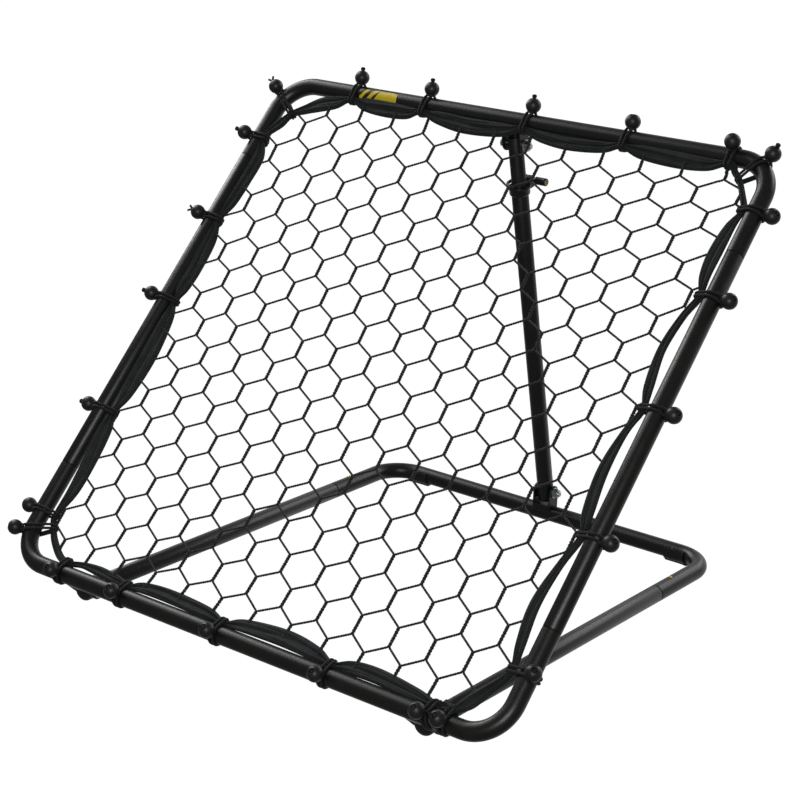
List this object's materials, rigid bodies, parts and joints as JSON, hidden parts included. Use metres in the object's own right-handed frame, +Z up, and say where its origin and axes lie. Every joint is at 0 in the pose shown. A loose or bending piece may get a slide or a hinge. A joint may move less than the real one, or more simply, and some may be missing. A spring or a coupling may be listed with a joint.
{
  "type": "pitch back rebounder",
  "caption": "Square tube frame with a hex net held by ball bungees, leaning back on a U-shaped floor base and a telescopic strut with a cam clamp.",
  "frame": {"origin": "centre of the whole object's box, on the floor", "axes": "+X along the top bar to the viewer's right, -Y is the side that the net faces, +Z up"},
  "size_m": [0.9103, 0.7625, 0.6848],
  "materials": {
    "black_coat": "satin black powder coat",
    "black_plastic": "moulded, fine texture",
    "ball_plastic": "satin moulded ball on a black elastic cord",
    "zinc": "bright zinc plate",
    "brass": "plain",
    "net_cord": "knotless twisted cord",
    "band_fabric": "woven, folded and stitched"
  },
  "bodies": {
    "base": {"base_left_tube": "black_coat", "base_right_tube": "black_coat", "base_rear_bend": "black_coat", "base_left_foot_cap": "black_plastic", "base_right_foot_cap": "black_plastic", "rear_foot_left": "black_plastic", "rear_foot_right": "black_plastic", "left_button_spring": "zinc", "right_button_spring": "zinc", "rear_strut_bracket": "black_coat", "rear_strut_bolt": "zinc", "rear_strut_nut": "zinc"},
    "net_frame": {"frame_top_bend": "black_coat", "frame_bottom_bend": "black_coat", "frame_left_tube": "black_coat", "frame_right_tube": "black_coat", "left_pivot_bracket": "black_coat", "right_pivot_bracket": "black_coat", "left_pivot_bolt": "zinc", "right_pivot_bolt": "zinc", "left_pivot_nut": "zinc", "right_pivot_nut": "zinc", "top_strut_bracket": "black_coat", "top_strut_bolt": "zinc", "top_strut_nut": "zinc", "rebound_net": "net_cord", "net_band": "band_fabric", "bungee_top_1": "ball_plastic", "bungee_top_2": "ball_plastic", "bungee_top_3": "ball_plastic", "bungee_top_4": "ball_plastic", "bungee_top_5": "ball_plastic", "bungee_bottom_1": "ball_plastic", "bungee_bottom_2": "ball_plastic", "bungee_bottom_3": "ball_plastic", "bungee_bottom_4": "ball_plastic", "bungee_bottom_5": "ball_plastic", "bungee_left_1": "ball_plastic", "bungee_left_2": "ball_plastic", "bungee_left_3": "ball_plastic", "bungee_left_4": "ball_plastic", "bungee_left_5": "ball_plastic", "bungee_right_1": "ball_plastic", "bungee_right_2": "ball_plastic", "bungee_right_3": "ball_plastic", "bungee_right_4": "ball_plastic", "bungee_right_5": "ball_plastic", "bungee_top_left": "ball_plastic", "bungee_top_right": "ball_plastic", "bungee_bottom_left": "ball_plastic", "bungee_bottom_right": "ball_plastic"},
    "strut_lower": {"strut_lower_tube": "black_coat", "strut_clamp_collar": "black_plastic", "clamp_bolt": "zinc"},
    "strut_upper": {"strut_upper_tube": "black_coat"},
    "clamp_lever": {"clamp_lever": "black_plastic", "clamp_lever_pin": "zinc"},
    "clamp_knob": {"clamp_knob": "black_plastic"},
    "left_button": {"left_snap_button": "brass"},
    "right_button": {"right_snap_button": "brass"}
  },
  "joints": [
    {"name": "frame_tilt", "type": "hinge", "parent": "base", "child": "net_frame", "pos_m": [0, -0.32209, 0.015], "axis": [1, 0, 0], "range_deg": [-3, 20]},
    {"name": "strut_swing", "type": "hinge", "parent": "base", "child": "strut_lower", "pos_m": [0, 0.3659, 0.05], "axis": [1, 0, 0], "range_deg": [-2.5, 15]},
    {"name": "strut_extend", "type": "slide", "parent": "strut_lower", "child": "strut_upper", "axis": [0, -0.2278, 0.9737], "range_m": [-0.036, 0.232]},
    {"name": "clamp_lever_turn", "type": "hinge", "parent": "strut_lower", "child": "clamp_lever", "pos_m": [-0.0135, 0.26608, 0.56017], "axis": [0, 0.2278, -0.9737], "range_deg": [0, 100]},
    {"name": "clamp_knob_turn", "type": "hinge", "parent": "strut_lower", "child": "clamp_knob", "pos_m": [0, 0.26608, 0.56017], "axis": [1, 0, 0], "continuous": true},
    {"name": "left_button_press", "type": "slide", "parent": "base", "child": "left_button", "axis": [0, 0, -1], "range_m": [0, 0.004], "stiffness_N_per_m": 800, "springref_m": -0.002, "deforming": ["left_button_spring"]},
    {"name": "right_button_press", "type": "slide", "parent": "base", "child": "right_button", "axis": [0, 0, -1], "range_m": [0, 0.004], "stiffness_N_per_m": 800, "springref_m": -0.002, "deforming": ["right_button_spring"]}
  ],
  "couplings": [
    {"joint": "strut_swing", "follows": "frame_tilt", "ratio": 0.7166},
    {"joint": "strut_extend", "follows": "frame_tilt", "m_per_rad": 0.6599}
  ]
}
